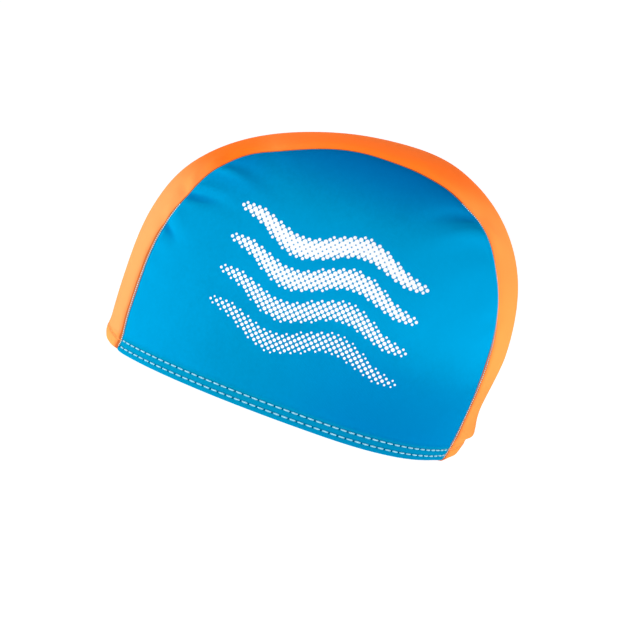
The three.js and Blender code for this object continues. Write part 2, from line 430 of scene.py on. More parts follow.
def threads(name, paths, normals, across, thick, sides):
    """One mesh of many closed threads. paths and normals are count by steps by 3, in metres; across and
    thick are each step's half width along the cloth and half height off it."""
    count, steps = paths.shape[:2]
    tangent = np.gradient(paths, axis=1)
    tangent /= np.linalg.norm(tangent, axis=-1, keepdims=True)
    side = np.cross(tangent, normals)
    side /= np.linalg.norm(side, axis=-1, keepdims=True)
    up = np.cross(side, tangent)
    turn = 2 * math.pi * np.arange(sides) / sides
    ring = (
        side[:, :, None] * np.cos(turn)[None, None, :, None] * across[None, :, None, None]
        + up[:, :, None] * np.sin(turn)[None, None, :, None] * thick[None, :, None, None]
    )
    points = paths[:, :, None] + ring
    length = np.linalg.norm(np.diff(paths, axis=1), axis=-1).cumsum(1)
    length = np.concatenate([np.zeros((count, 1)), length], 1)
    uv = np.zeros((count, steps, sides, 2))
    uv[..., 0] = length[:, :, None]
    uv[..., 1] = np.arange(sides) / sides
    s, k = np.meshgrid(np.arange(steps - 1), np.arange(sides), indexing="ij")
    a = s * sides + k
    b = s * sides + (k + 1) % sides
    body = np.stack([a, b, b + sides, a + sides], -1).reshape(-1, 4)
    start = np.arange(count)[:, None, None] * steps * sides
    faces = (body[None] + start).reshape(-1, 4).tolist()
    caps = np.stack([np.arange(sides)[::-1], (steps - 1) * sides + np.arange(sides)])
    faces += (caps[None] + start).reshape(-1, sides).tolist()
    return new_object(name, points, faces, None, dict(cloth=uv))


def finish_piece(piece, materials, nodes=()):
    """Gives a piece its materials, puts it on the frame and hides the nodes that it stands for."""
    for material in materials:
        piece.data.materials.append(material)
    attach(piece, "root")
    if nodes:
        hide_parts(*nodes)
    return piece


# The cloth's faces


def hem_relief(z, rows):
    """How the hem's outer face swells between its stitched rows and sinks along them."""
    depth = bpy.context.scene.cap_cloth.hem_depth / MM
    relief = HEM_RELIEF["swell"] * (1.0 - smooth(z, depth - 0.4, depth + 1.4))
    for row in rows:
        relief = relief - HEM_RELIEF["row_depth"] * bump(z - row, HEM_RELIEF["row_width"])
    return relief


def corner_lift(p, from_seam):
    """How far a panel's lower edge turns up at its front corner, and hangs at the nape."""
    hang = 0.4 * NAPE_TIP["drop"] * bump(from_seam, 2 * NAPE_TIP["reach"])
    return np.where(p[..., 0] < 0, rolled(from_seam, HEM_CORNER), -hang)


def tip_lift(p, from_seam):
    """How far the strip's lower edge hangs at its corners at the nape, as a lift below zero."""
    return -NAPE_TIP["drop"] * bump(from_seam, NAPE_TIP["reach"]) * (p[..., 0] > 0)


def cloth_faces(p, from_seam, offset, rows, roll, edge_lift):
    """Outer and inner points of the cloth at points of the dome."""
    size = bpy.context.scene.cap_cloth
    wall, hem = size.wall / MM, size.hem_wall / MM
    z = p[..., 2]
    outward = outward_at(p)
    risen = risen_with_hem(p)
    risen[..., 2] += edge_lift(p, from_seam) * bump(z, EDGE_LIFT_FADES_OVER)
    fold_edge = rolled(z, hem / 2 - 0.1)
    outer_off = offset + hem_relief(z, rows) - rolled(from_seam, roll) - fold_edge
    depth = hem + (wall - hem) * smooth(z, size.hem_depth / MM - 0.1, size.hem_depth / MM + 0.3)
    inner_off = offset - depth + fold_edge
    outer = risen + outward * outer_off[..., None]
    inner = risen + outward * inner_off[..., None]
    return outer, inner, outward


def panel_side_view():
    """A side panel in the side view, as a grid of points of the dome: hem rows, then a patch to the seam."""
    shift = NEAR_SEAM_GAP
    size = bpy.context.scene.cap_cloth
    top = size.hem_depth / MM + 1.0
    hem_rows = graded(top, MESH["edge"], MESH["hem"], MESH["hem"])
    start = angle_at_height(-1, 1.0, shift, top)
    end = angle_at_height(1, 1.0, shift, top)
    front_corner = math.radians(MESH["front_corner"])
    back_corner = math.radians(MESH["back_corner"])
    width, height = 172.0, 122.0
    u = graded(width, MESH["seam"], MESH["open"], MESH["seam"]) / width
    v = graded(height, MESH["hem"], MESH["open"], MESH["seam"]) / height

    def seam_xz(angle):
        return strip_point(angle, 1.0, shift)[..., [0, 2]]

    front = seam_xz(start + (front_corner - start) * v)
    back = seam_xz(end + (back_corner - end) * v)
    crown = seam_xz(front_corner + (back_corner - front_corner) * u)
    low_front, low_back, high_front, high_back = front[0], back[0], crown[0], crown[-1]
    lowest = low_front + (low_back - low_front) * u[:, None]
    uu = u[None, :, None]
    vv = v[:, None, None]
    across = front[:, None] * (1 - uu) + back[:, None] * uu
    upward = lowest[None] * (1 - vv) + crown[None] * vv
    low = low_front * (1 - uu) + low_back * uu
    high = high_front * (1 - uu) + high_back * uu
    patch = across + upward - low * (1 - vv) - high * vv

    ends = [seam_xz(angle_at_height(end, 1.0, shift, hem_rows[:-1]))[:, 0] for end in (-1, 1)]
    x = ends[0][:, None] * (1 - u) + ends[1][:, None] * u
    hem = np.stack([x, np.broadcast_to(hem_rows[:-1, None], x.shape)], -1)
    return np.concatenate([hem, patch])


def hem_line():
    """Places along a side panel's hem, and the distance of each from the forehead."""
    places = np.linspace(HEM_LINE["start"], HEM_LINE["end"], HEM_LINE["count"])
    y = half_breadth(places, np.zeros_like(places))
    steps = np.hypot(np.diff(places), np.diff(y))
    return places, np.concatenate([[0.0], np.cumsum(steps)])


def hem_arc(x):
    return np.interp(x, *hem_line())


def hem_x(arc):
    places, arcs = hem_line()
    return np.interp(arc, arcs, places)


def on_panel(x, z):
    """Points of the dome on the left panel for places in its side view, and what the cloth does there."""
    y = half_breadth(x, z)
    p = np.stack([x, y, z], -1)
    angle = np.arctan2(z, -x)
    seam = strip_point(angle, 1.0, NEAR_SEAM_GAP)
    from_seam = np.linalg.norm(p - seam, axis=-1)
    size = bpy.context.scene.cap_cloth
    dip = size.panel_dip / MM * bump(from_seam, size.dip_reach / MM)
    offset = wave_at(p) - dip - fold_at(angle, from_seam, False)
    return p, from_seam, offset


def panel_faces(p, from_seam, offset):
    size = bpy.context.scene.cap_cloth
    rows = (size.lower_row / MM, size.upper_row / MM)
    return cloth_faces(p, from_seam, offset, rows, size.panel_roll / MM, corner_lift)


def side_panel(side, name):
    """A side panel's shell, on the wearer's left (-1) or right (1)."""
    xz = panel_side_view()
    p, from_seam, offset = on_panel(xz[..., 0], xz[..., 1])
    outer, inner, _ = panel_faces(p, from_seam, offset)
    # The folds' depth, kept so that the knit can paint shade in their valleys and highlight on their ridges.
    fold = full_fold_at(np.arctan2(p[..., 2], -p[..., 0]), from_seam, False)
    layers = dict(
        cloth=np.stack([hem_arc(p[..., 0]), p[..., 2]], -1) * MM,
        seam=np.stack([from_seam, p[..., 2]], -1) * MM,
        fold=np.stack([fold, fold], -1) * MM,
    )
    return cloth_shell(name, centred(on_side(outer, side)), centred(on_side(inner, side)), layers, side > 0)


def on_strip(angle, share):
    p = strip_point(angle, share, -NEAR_SEAM_GAP)
    from_seam = strip_half(angle, -NEAR_SEAM_GAP) * (1.0 - np.abs(share))
    size = bpy.context.scene.cap_cloth
    flare = np.where(
        p[..., 0] < 0,
        curve(FOREHEAD_FLARE, "up", "off", p[..., 2]),
        curve(NAPE_PUFF, "up", "off", p[..., 2]),
    )
    dip = size.strip_dip / MM * bump(from_seam, size.dip_reach / MM)
    offset = flare * np.cos(math.pi / 2 * share) - dip - fold_at(angle, from_seam, True)
    return p, from_seam, offset + wave_at(p) * np.abs(share) - strip_dent_at(angle, from_seam)


def strip_row_at(share):
    """The height of the row that holds the strip's hem, which rises from the seams to the middle."""
    size = bpy.context.scene.cap_cloth
    return (size.strip_row + size.strip_row_rise * (1.0 - share**2)) / MM


def strip_faces(share, p, from_seam, offset):
    roll = bpy.context.scene.cap_cloth.strip_roll / MM
    return cloth_faces(p, from_seam, offset, (strip_row_at(share),), roll, tip_lift)


def strip_shell(name):
    size = bpy.context.scene.cap_cloth
    top = size.hem_depth / MM + 1.0
    hem_rows = graded(top, MESH["edge"], MESH["hem"], MESH["hem"])
    half, long = 28.0, 330.0
    share = graded(2 * half, 0.2, 1.1, 0.2) / half - 1.0
    along = graded(long, MESH["hem"], 1.2, MESH["hem"]) / long

    def angles_at(end, height):
        return angle_at_height(end, share, -NEAR_SEAM_GAP, height)

    first, last = angles_at(-1, top), angles_at(1, top)
    angles = [angles_at(-1, z) for z in hem_rows[:-1]]
    angles += [first + (last - first) * t for t in along]
    angles += [angles_at(1, z) for z in hem_rows[-2::-1]]
    angle = np.stack(angles)
    share = np.broadcast_to(share, angle.shape)
    p, from_seam, offset = on_strip(angle, share)
    outer, inner, _ = strip_faces(share, p, from_seam, offset)
    layers = dict(
        cloth=np.stack([p[..., 1], angle * CROWN_HEIGHT], -1) * MM,
        seam=np.stack([from_seam, p[..., 2]], -1) * MM,
    )
    return cloth_shell(name, centred(outer), centred(inner), layers, True)


# Shader maths


class Sum:
    """A number in a node tree. Operators on it add Math nodes."""

    def __init__(self, nodes, socket):
        self.nodes = nodes
        self.socket = socket

    def math(self, operation, *others):
        return self.nodes.add("ShaderNodeMath", dict(operation=operation), self, *others)

    def __add__(self, other):
        return self.math("ADD", other)

    def __sub__(self, other):
        return self.math("SUBTRACT", other)

    def __rsub__(self, other):
        return self.nodes.number(other).math("SUBTRACT", self)

    def __mul__(self, other):
        return self.math("MULTIPLY", other)

    def __truediv__(self, other):
        return self.math("DIVIDE", other)

    __radd__ = __add__
    __rmul__ = __mul__

    def ramp(self, low, high, start=0.0, end=1.0):
        """From start, where this is low, smoothly to end, where it is high; low may be above high."""
        settings = dict(interpolation_type="SMOOTHSTEP")
        values = (self, low, high, start, end) if low < high else (self, high, low, end, start)
        return self.nodes.add("ShaderNodeMapRange", settings, *values)


def math_node(operation):
    return lambda first, *others: first.math(operation, *others)


for word, operation in dict(sine="SINE", floor="FLOOR", fraction="FRACT", absolute="ABSOLUTE").items():
    setattr(Sum, word, math_node(operation))
for word, operation in dict(root="SQRT", least="MINIMUM", most="MAXIMUM").items():
    setattr(Sum, word, math_node(operation))


class NodeTree:
    """The node tree of a material or a world, built in code."""

    def __init__(self, owner, output):
        owner.use_nodes = True
        self.tree = owner.node_tree
        self.tree.nodes.clear()
        self.output = self.tree.nodes.new(output).inputs["Surface"]

    def add(self, kind, settings=None, *values, output=0, **named):
        """Adds a node of a kind: its settings first, then what its sockets take."""
        node = self.tree.nodes.new(kind)
        for key, value in (settings or {}).items():
            setattr(node, key, value)
        for key, value in list(enumerate(values)) + [(k.replace("_", " "), v) for k, v in named.items()]:
            self.put(node.inputs[key], value)
        return Sum(self, node.outputs[output])

    def put(self, socket, value):
        if isinstance(value, Sum):
            self.tree.links.new(value.socket, socket)
        else:
            socket.default_value = value

    def number(self, value):
        return self.add("ShaderNodeMath", dict(operation="ADD"), value, 0.0)

    def parts(self, vector):
        """The x, y and z of a vector."""
        node = self.tree.nodes.new("ShaderNodeSeparateXYZ")
        self.put(node.inputs[0], vector)
        return [Sum(self, output) for output in node.outputs]

    def mix(self, share, first, second):
        """A colour between two colours."""
        node = self.tree.nodes.new("ShaderNodeMix")
        node.data_type = "RGBA"
        self.put(node.inputs["Factor"], share)
        self.put(node.inputs[6], first)
        self.put(node.inputs[7], second)
        return Sum(self, node.outputs[2])


class Shader(NodeTree):
    """A material's node tree."""

    def __init__(self, name):
        self.material = bpy.data.materials.new(name)
        super().__init__(self.material, "ShaderNodeOutputMaterial")
        self.surface = self.tree.nodes.new("ShaderNodeBsdfPrincipled")
        self.tree.links.new(self.surface.outputs[0], self.output)

    def set(self, **values):
        for key, value in values.items():
            self.put(self.surface.inputs[key.replace("_", " ")], value)

    def place(self):
        """The place in the cap's own frame, in metres."""
        return self.add("ShaderNodeTexCoord", output="Object")

    def layer(self, name):
        """A layer's pair of numbers, in metres: cloth, the place along and up the cloth; seam, the
        distance from the seam and the height over the hem's edge; and fold, the folds' depth."""
        return self.parts(self.add("ShaderNodeUVMap", dict(uv_map=name)))[:2]

    def noise(self, where, scale, detail=2.0, roughness=0.5):
        values = dict(Vector=where, Scale=scale, Detail=detail, Roughness=roughness)
        return self.add("ShaderNodeTexNoise", {}, **values)

    def relief(self, height, distance):
        return self.add("ShaderNodeBump", {}, Height=height, Distance=distance, Strength=1.0)


def shade(colour, factor):
    return tuple(channel * factor for channel in colour[:3]) + (1.0,)


def knit_height(shader, along, up, wale, course):
    """The height of a fine jersey face: upright wales of small V stitches, from 0 to 1."""
    across = (along / wale).fraction() - 0.5
    valley = 1.0 - (across.absolute() * 2.0)
    lean = across.absolute() * 0.9
    stitch = ((up / course) + lean).fraction() - 0.5
    round_stitch = 1.0 - (stitch * stitch * 4.0)
    return valley.root() * 0.6 + round_stitch * 0.4


# Painted shade and painted light: where the knit is deeper or paler as the light falls on it, deeper at the
# crown and low down, paler at the sides. A row mixes in a tint, or a paler shade of the knit's own colour,
# over its spots: at most a share, between places along the cap (x) and up it (z), in metres.
PANEL_PAINTED_LIGHT = [
    dict(
        tint=(0.0, 0.160, 0.54),
        spots=[
            dict(share=0.75, x=[(-0.03, 0.045)], z=[(0.060, 0.008)]),
            dict(share=0.9, z=[(0.098, 0.138)]),
            dict(share=0.5, x=[(-0.02, -0.06)], z=[(0.082, 0.118)]),
        ],
    ),
    dict(tint=(0.0, 0.215, 0.42), spots=[dict(share=0.5, x=[(-0.07, -0.02)], z=[(0.060, 0.015)])]),
    dict(paler=1.12, spots=[dict(share=0.6, x=[(-0.03, -0.08)], z=[(0.10, 0.07)])]),
    dict(
        paler=1.18,
        spots=[dict(share=0.6, x=[(-0.07, -0.02), (0.07, 0.03)], z=[(0.045, 0.065), (0.115, 0.090)])],
    ),
    dict(paler=1.34, spots=[dict(share=0.85, x=[(0.02, 0.065)], z=[(0.035, 0.065), (0.130, 0.108)])]),
]
# The strip: painted shade at the crown and high in front, painted light low in front and on the nape side.
STRIP_PAINTED_LIGHT = [
    dict(
        tint=(1.0, 0.17, 0.006),
        spots=[
            dict(share=0.95, z=[(0.106, 0.138)]),
            dict(share=0.95, x=[(-0.03, -0.06)], z=[(0.084, 0.110)]),
        ],
    ),
    dict(tint=(1.0, 0.355, 0.115), spots=[dict(share=0.9, x=[(-0.045, -0.095)], z=[(0.115, 0.07)])]),
    dict(paler=1.26, spots=[dict(share=0.9, x=[(0.02, 0.065)], z=[(0.03, 0.06), (0.140, 0.116)])]),
]

# A knit's look: its painted shade and light, the tint of painted shade over the hem, of painted shade in
# folds and a painted highlight on their ridges, the tint of painted shade deep in a seam and in the needle
# holes, and its sheen.
PANEL_LOOK = dict(
    painted_light=PANEL_PAINTED_LIGHT,
    hem=dict(share=0.55, tint=(0.0, 0.255, 0.40)),
    valley=dict(share=0.55, tint=(0.0, 0.13, 0.38)),
    ridge=dict(share=0.6, paler=1.30),
    deep=(0.0, 0.07, 0.17),
    sheen=(0.0, 0.75, 1.0),
    gloss=0.2,
)
STRIP_LOOK = dict(
    painted_light=STRIP_PAINTED_LIGHT,
    hem=dict(share=0.3, tint=(1.0, 0.30, 0.04)),
    deep=(0.42, 0.10, 0.022),
    sheen=(1.0, 0.6, 0.3),
    gloss=0.16,
)
# Painted light: the strip's emission, stronger at the crown, where less light falls.
STRIP_PAINTED_GLOW = dict(low=(0.3, 0.01, 0.0), crown=(0.51, 0.07, 0.008))


def tint_of(tone, colour):
    return shade(tone["tint"], 1.0) if "tint" in tone else shade(colour, tone["paler"])


def spot_share(spot, x, z):
    """How much of a spot's tint shows at a place."""
    share = spot["share"]
    for low, high in spot.get("x", ()):
        share = x.ramp(low, high) * share
    for low, high in spot["z"]:
        share = z.ramp(low, high) * share
    return share


def with_painted_light(shader, base, colour, look, place):
    """The knit's base colour with its look's painted shade and painted light: deeper and paler parts, at a
    place x, z, over the edge.
    """
    x, z, over_edge = place
    for tone in look["painted_light"]:
        share = spot_share(tone["spots"][0], x, z)
        for spot in tone["spots"][1:]:
            share = share.most(spot_share(spot, x, z))
        base = shader.mix(share, base, tint_of(tone, colour))
    # Painted shade in the folds' valleys and a painted highlight on their ridges, by the folds' depth.
    if "valley" in look:
        fold, _ = shader.layer("fold")
        valley = fold.ramp(0.0003, 0.0016) * look["valley"]["share"]
        ridge = fold.ramp(-0.0003, -0.0012) * look["ridge"]["share"]
        base = shader.mix(valley, base, tint_of(look["valley"], colour))
        base = shader.mix(ridge, base, tint_of(look["ridge"], colour))
    # Painted shade: a deeper tint over the hem.
    hem = over_edge.ramp(0.0087, 0.0075) * look["hem"]["share"]
    return shader.mix(hem, base, tint_of(look["hem"], colour))


def seam_shade(from_seam, over_edge, z, width, crease):
    """Painted shade: how dark the line along the seam is, narrower towards the crown, and the strip hem's
    row, a line of painted shade.
    """
    narrow = from_seam / (1.0 - z.ramp(0.052, 0.086) * 0.7)
    line = narrow.ramp(width * 1.3, width * 0.8) * 0.85
    line = line.most(narrow.ramp(width * 2.0, width) * 0.3)
    if crease is None:
        return line
    # The strip hem's row: a line of painted shade along its crease.
    inward = (from_seam / 0.025).least(1.0)
    row = (inward * 2.0 - inward * inward) * bpy.context.scene.cap_cloth.strip_row_rise + crease
    return line.most((over_edge - row).absolute().ramp(0.0013, 0.0003) * 0.35)


def needle_marks(along, up, rows):
    """Where the needle draws the cloth in along its rows, which the knit sinks and darkens with painted
    shade in the needle holes and along the rows.
    """
    pitch = bpy.context.scene.cap_cloth.stitch_pitch
    step = ((along / pitch + 0.5).fraction() - 0.5) * pitch
    marks = None
    for row in rows:
        rise = up - row
        spot = (step * step * 0.55 + rise * rise).root().ramp(0.00065, 0.0002)
        spot = spot.most((rise - 0.0003).absolute().ramp(0.0008, 0.0003) * 0.45)
        marks = spot if marks is None else marks.most(spot)
    return marks


def knit_material(name, colour, look, seam_width, **extra):
    """Satin stretch knit: fine wales, a mottled grain, its look's painted shade and light, and a darker line
    of painted shade at the seam. Extra: print_on, needle_rows, with painted shade at the needle holes, glow,
    painted light as an emission, stronger at the crown, and crease, a row that shows only as a darker line
    of painted shade."""
    size = bpy.context.scene.cap_cloth
    shader = Shader(name)
    along, up = shader.layer("cloth")
    from_seam, over_edge = shader.layer("seam")
    where = shader.place()
    grain = shader.noise(where, 620.0, 3.0, 0.65)
    blotch = shader.noise(where, 70.0, 3.0, 0.6)
    drift = shader.noise(where, 11.0, 1.0, 0.5)
    knit = knit_height(shader, along, up, size.wale, size.course)
    tone = grain * 0.38 + blotch * 0.24 + drift * 0.22 + knit * 0.16
    base = shader.mix(tone.ramp(0.3, 0.7), shade(colour, 0.88), shade(colour, 1.12))
    x, _, z = shader.parts(where)
    base = with_painted_light(shader, base, colour, look, (x, z, over_edge))
    # Painted shade along the seam's groove.
    painted_seam_shade = seam_shade(from_seam, over_edge, z, seam_width, extra.get("crease"))
    base = shader.mix(painted_seam_shade, base, shade(look["deep"], 1.0))
    relief = knit * 1.0 + grain * 0.5
    rough = 0.5 + grain * 0.16
    if extra.get("needle_rows"):
        marks = needle_marks(along, up, extra["needle_rows"])
        # Painted shade in the needle holes and along the rows.
        base = shader.mix(marks * 0.7, base, shade(look["deep"], 0.7))
        relief = relief - marks * 3.0
    if extra.get("print_on"):
        ink = print_mask(shader, where)
        white = bpy.context.scene.cap_print.ink
        inked = shader.mix(grain.ramp(0.25, 0.75), shade(white, 0.9), shade(white, 1.0))
        base = shader.mix(ink, base, inked)
        relief = relief * (1.0 - ink * 0.55) + ink * 0.5
        rough = rough + ink * 0.08
    shader.set(Base_Color=base, Roughness=rough, Normal=shader.relief(relief, size.knit_relief))
    shader.set(Specular_IOR_Level=0.0)
    shader.set(Sheen_Weight=look["gloss"], Sheen_Roughness=0.45, Sheen_Tint=shade(look["sheen"], 1.0))
    # Painted light: the strip glows, more at the crown, and not in the painted shade at the seam.
    if extra.get("glow"):
        glow = extra["glow"]
        bright = shader.mix(z.ramp(0.095, 0.135), shade(glow["low"], 1.0), shade(glow["crown"], 1.0))
        bright = shader.mix(painted_seam_shade, bright, (0.0, 0.0, 0.0, 1.0))
        shader.set(Emission_Color=bright, Emission_Strength=1.0)
    return shader.material


def print_mask(shader, where):
    """White where the print is: bands of dots that run in even waves along the cap, each band paler
    than the one above."""
    size = bpy.context.scene.cap_print
    x, _, z = shader.parts(where)
    pitch = size.dot_pitch
    u = (x - size.middle_x) / pitch
    v = (z - size.middle_z) / pitch
    across = (u + v) * math.sqrt(0.5)
    upward = (v - u) * math.sqrt(0.5)
    cell_a = across.floor() + 0.5
    cell_b = upward.floor() + 0.5
    dot_x = (cell_a - cell_b) * (math.sqrt(0.5) * pitch)
    dot_z = (cell_a + cell_b) * (math.sqrt(0.5) * pitch)
    local_a = across - cell_a
    local_b = upward - cell_b
    distance = (local_a * local_a + local_b * local_b).root()
    taper = dot_x * (2.0 / size.length)
    inside = (1.0 - taper * taper).most(0.0).root()
    crest = (dot_x * (2 * math.pi / size.wave_length)).sine() * size.wave_height
    radius = None
    for k in range(size.bands):
        middle = (size.bands - 1) / 2 - k
        away = (dot_z - crest - middle * size.band_step).absolute() / size.band_half
        here = (inside - away).ramp(0.0, 0.5)
        full = size.dense_dot + (size.pale_dot - size.dense_dot) * k / max(1, size.bands - 1)
        band = (here * 0.45 + 0.55) * full * (inside - away).ramp(-0.01, 0.01)
        radius = band if radius is None else radius.most(band)
    return (distance - radius).ramp(0.04, -0.04) * radius.ramp(0.18, 0.2)


def thread_material(name, colour, twist):
    shader = Shader(name)
    along, around = shader.layer("cloth")
    strand = ((along / twist + around) * (4 * math.pi)).sine() * 0.5 + 0.5
    fuzz = shader.noise(shader.place(), 2400.0, 2.0, 0.6)
    base = shader.mix(strand * 0.7 + fuzz * 0.3, shade(colour, 0.8), shade(colour, 1.05))
    shader.set(Base_Color=base, Roughness=0.45 + fuzz * 0.2)
    shader.set(Normal=shader.relief(strand + fuzz * 0.4, 0.00008))
    shader.set(Specular_IOR_Level=0.4, Sheen_Weight=0.15, Sheen_Roughness=0.4)
    return shader.material


# Sizes and colours that a user may change


def number(name, description, default, **more):
    return bpy.props.FloatProperty(name=name, description=description, default=default, **more)


def length(name, description, default):
    return number(name, description, default, unit="LENGTH")


def degrees(name, description, default):
    return number(name, description, math.radians(default), subtype="ANGLE")


def colour(name, description, default):
    settings = dict(name=name, description=description, default=default)
    return bpy.props.FloatVectorProperty(subtype="COLOR", **settings)


def flat_size(name, description, default):
    settings = dict(name=name, description=description, default=default)
    return bpy.props.FloatVectorProperty(size=2, unit="LENGTH", **settings)


class CapCloth(bpy.types.PropertyGroup):
    panel_colour: colour("Panel colour", "Side panels' knit", (0.0, 0.272, 0.535))
    strip_colour: colour("Strip colour", "Centre strip's knit", (1.0, 0.292, 0.062))
    panel_cut: flat_size("Panel cut", "A panel's flat width and height", (0.182, 0.137))
    panel_cut_area: number("Panel area", "A panel's flat area in square metres", 0.0203, precision=4)
    strip_cut: flat_size("Strip cut", "The strip's flat width and length", (0.052, 0.360))
    strip_cut_area: number("Strip area", "The strip's flat area in square metres", 0.0184, precision=4)
    wall: length("Cloth", "Thickness of the single cloth", 0.0012)
    hem_wall: length("Hem", "Thickness of the turned-up hem", 0.0024)
    hem_depth: length("Hem depth", "Height of the turned-up hem", 0.008)
    lower_row: length("Lower row", "Height of the hem's lower row of stitches", 0.0029)
    upper_row: length("Upper row", "Height of the hem's upper row of stitches", 0.0063)
    strip_row: length("Strip row", "Height of the row that holds the strip's hem", 0.0052)
    strip_row_rise: length("Strip row rise", "How far that row rises to the middle", 0.0026)
    stitch_pitch: length("Stitch pitch", "From one hem stitch to the next", 0.0041)
    panel_dip: length("Panel dip", "How far a panel draws in along the seam", 0.0005)
    strip_dip: length("Strip dip", "How far the strip draws in along the seam", 0.0011)
    dip_reach: length("Dip reach", "How far from the seam the cloth draws in", 0.003)
    panel_roll: length("Panel edge", "Radius of a panel's rolled edge", 0.0008)
    strip_roll: length("Strip edge", "Radius of the strip's rolled edge", 0.0011)
    wale: length("Wale", "Width of a knitted column", 0.00062)
    course: length("Course", "Height of a knitted row", 0.0005)
    # Widths of the painted shade along the seam.
    panel_shade: length("Panel shade", "Width of the panels' dark line at the seam", 0.0010)
    strip_shade: length("Strip shade", "Width of the strip's dark line at the seam", 0.0021)
    knit_relief: length("Knit relief", "Height of the knit's face", 0.00006)


class CapThread(bpy.types.PropertyGroup):
    white: colour("White thread", "Hem and seam thread", (0.34, 0.74, 0.90))
    orange: colour("Orange thread", "Strip hem's thread", (1.0, 0.33, 0.06))
    length: length("Stitch", "Length of a hem stitch", 0.0034)
    half_width: length("Stitch half width", "Half a hem stitch's width", 0.00037)
    seam_pitch: length("Seam pitch", "From one seam stitch to the next", 0.00105)


class CapPrint(bpy.types.PropertyGroup):
    ink: colour("Ink", "Printed dots", (1.0, 1.0, 1.0))
    dot_pitch: length("Dot pitch", "From one printed dot to the next", 0.0022)
    dense_dot: number("Dense dot", "Radius of the top band's dots, as a share of the pitch", 0.56)
    pale_dot: number("Pale dot", "Radius of the lowest band's dots, as a share of the pitch", 0.36)
    middle_x: length("Middle", "Middle of the print along the cap", 0.001)
    middle_z: length("Height", "Height of the print's middle", 0.0625)
    length: length("Length", "Length of the bands", 0.100)
    wave_length: length("Wave length", "From crest to crest", 0.060)
    wave_height: length("Wave height", "Height of a crest over the band's middle", 0.0045)
    bands: bpy.props.IntProperty(name="Bands", description="Number of bands", default=4)
    band_step: length("Band step", "From one band to the next", 0.0155)
    band_half: length("Band half height", "Half a band's height", 0.0056)


class CapStage(bpy.types.PropertyGroup):
    floor_colour: colour("Floor", "Floor's colour", (0.45, 0.45, 0.45))
    floor_glow: number("Floor glow", "White light from the floor, as of a lit table", 0.92)
    behind: number("Behind", "Light from the white wall behind the cap", 1.05)
    beside: number("Beside", "Light from the walls to the left and right", 2.75)
    around: number("Around", "Light from all round", 0.04)
    left_box: number("Left softbox", "Power of the left softbox", 7.7, unit="POWER")
    right_box: number("Right softbox", "Power of the right softbox", 4.1, unit="POWER")
    elevation: degrees("Elevation", "Camera above the level", 5.5)
    azimuth: degrees("Azimuth", "Camera round the cap", 1.2)
    roll: degrees("Roll", "Camera's roll, which tilts the cap in the picture", 18.95)
    distance: length("Distance", "Camera from the cap", 1.1)
    frame_width: length("Frame", "Width of the picture at the cap", 0.315)

# Operators


class SidePanels(bpy.types.Operator):
    """Builds the two side panels in satin knit, the left one with its print"""

    bl_idname = "swim_cap.side_panels"
    bl_label = "Side panels"

    def execute(self, context):
        size = context.scene.cap_cloth
        look = (tuple(size.panel_colour), PANEL_LOOK, size.panel_shade)
        rows = (size.lower_row, size.upper_row)
        plain = knit_material("panel_knit", *look, needle_rows=rows)
        printed = knit_material("panel_knit_printed", *look, print_on=True, needle_rows=rows)
        inside = knit_material("panel_knit_inside", *look)
        left = side_panel(-1, "left_panel_knit")
        finish_piece(left, (printed, inside), ("left_panel",))
        right = side_panel(1, "right_panel_knit")
        finish_piece(right, (plain, inside), ("right_panel",))
        return {"FINISHED"}


class CentreStrip(bpy.types.Operator):
    """Builds the centre strip in satin knit"""

    bl_idname = "swim_cap.centre_strip"
    bl_label = "Centre strip"

    def execute(self, context):
        size = context.scene.cap_cloth
        look = (tuple(size.strip_colour), STRIP_LOOK, size.strip_shade)
        outside_knit = knit_material("strip_knit", *look, glow=STRIP_PAINTED_GLOW, crease=size.strip_row)
        inside = knit_material("strip_knit_inside", *look, glow=STRIP_PAINTED_GLOW)
        strip = strip_shell("centre_strip_knit")
        finish_piece(strip, (outside_knit, inside), ("centre_strip",))
        return {"FINISHED"}


def stitch_steps(steps):
    """How far along a stitch its steps lie, and how full and how raised it is there, from 0 to 1."""
    t = np.linspace(0.0, 1.0, steps)
    full = np.sqrt(np.maximum(1.0 - np.abs(2 * t - 1) ** 3.2, 0.03))
    raised = np.sqrt(np.maximum(np.sin(math.pi * t), 0.0))
    return t, full, raised


def hem_places():
    """Where the hem's stitches start along a side panel's hem, in millimetres."""
    pitch = bpy.context.scene.cap_cloth.stitch_pitch / MM
    first = hem_arc(strip_point(0.0, 1.0, NEAR_SEAM_GAP)[..., 0])
    last = hem_arc(strip_point(math.pi, 1.0, NEAR_SEAM_GAP)[..., 0])
    starts = np.arange(math.ceil((first + 0.6) / pitch) * pitch, last - 0.6, pitch)
    return starts[starts + pitch < last + 0.8]


def sew(name, path, normal, half, material, slot="white_thread", full=None, sides=6):
    """A piece of stitches along a path in millimetres; half is a thread's half width and half height."""
    full = np.ones(path.shape[1]) if full is None else full
    piece = threads(name, centred(path), normal, half[0] * full, half[1] * full, sides)
    finish_piece(piece, (material,))


def panel_rows(t, raised):
    """The stitches of a side panel's two rows, and the outward directions along them."""
    size = bpy.context.scene.cap_cloth
    length = bpy.context.scene.cap_thread.length
    gap = (size.stitch_pitch - length) / 2 / MM
    x = hem_x(hem_places()[:, None] + gap + length / MM * t)
    sunk, high = HEM_STITCH["panel"]
    paths, normals = [], []
    for row in (size.lower_row / MM, size.upper_row / MM):
        outer, _, outward = panel_faces(*on_panel(x, np.full_like(x, row)))
        paths.append(outer + outward * (sunk + high * raised)[None, :, None])
        normals.append(outward)
    return np.concatenate(paths), np.concatenate(normals)


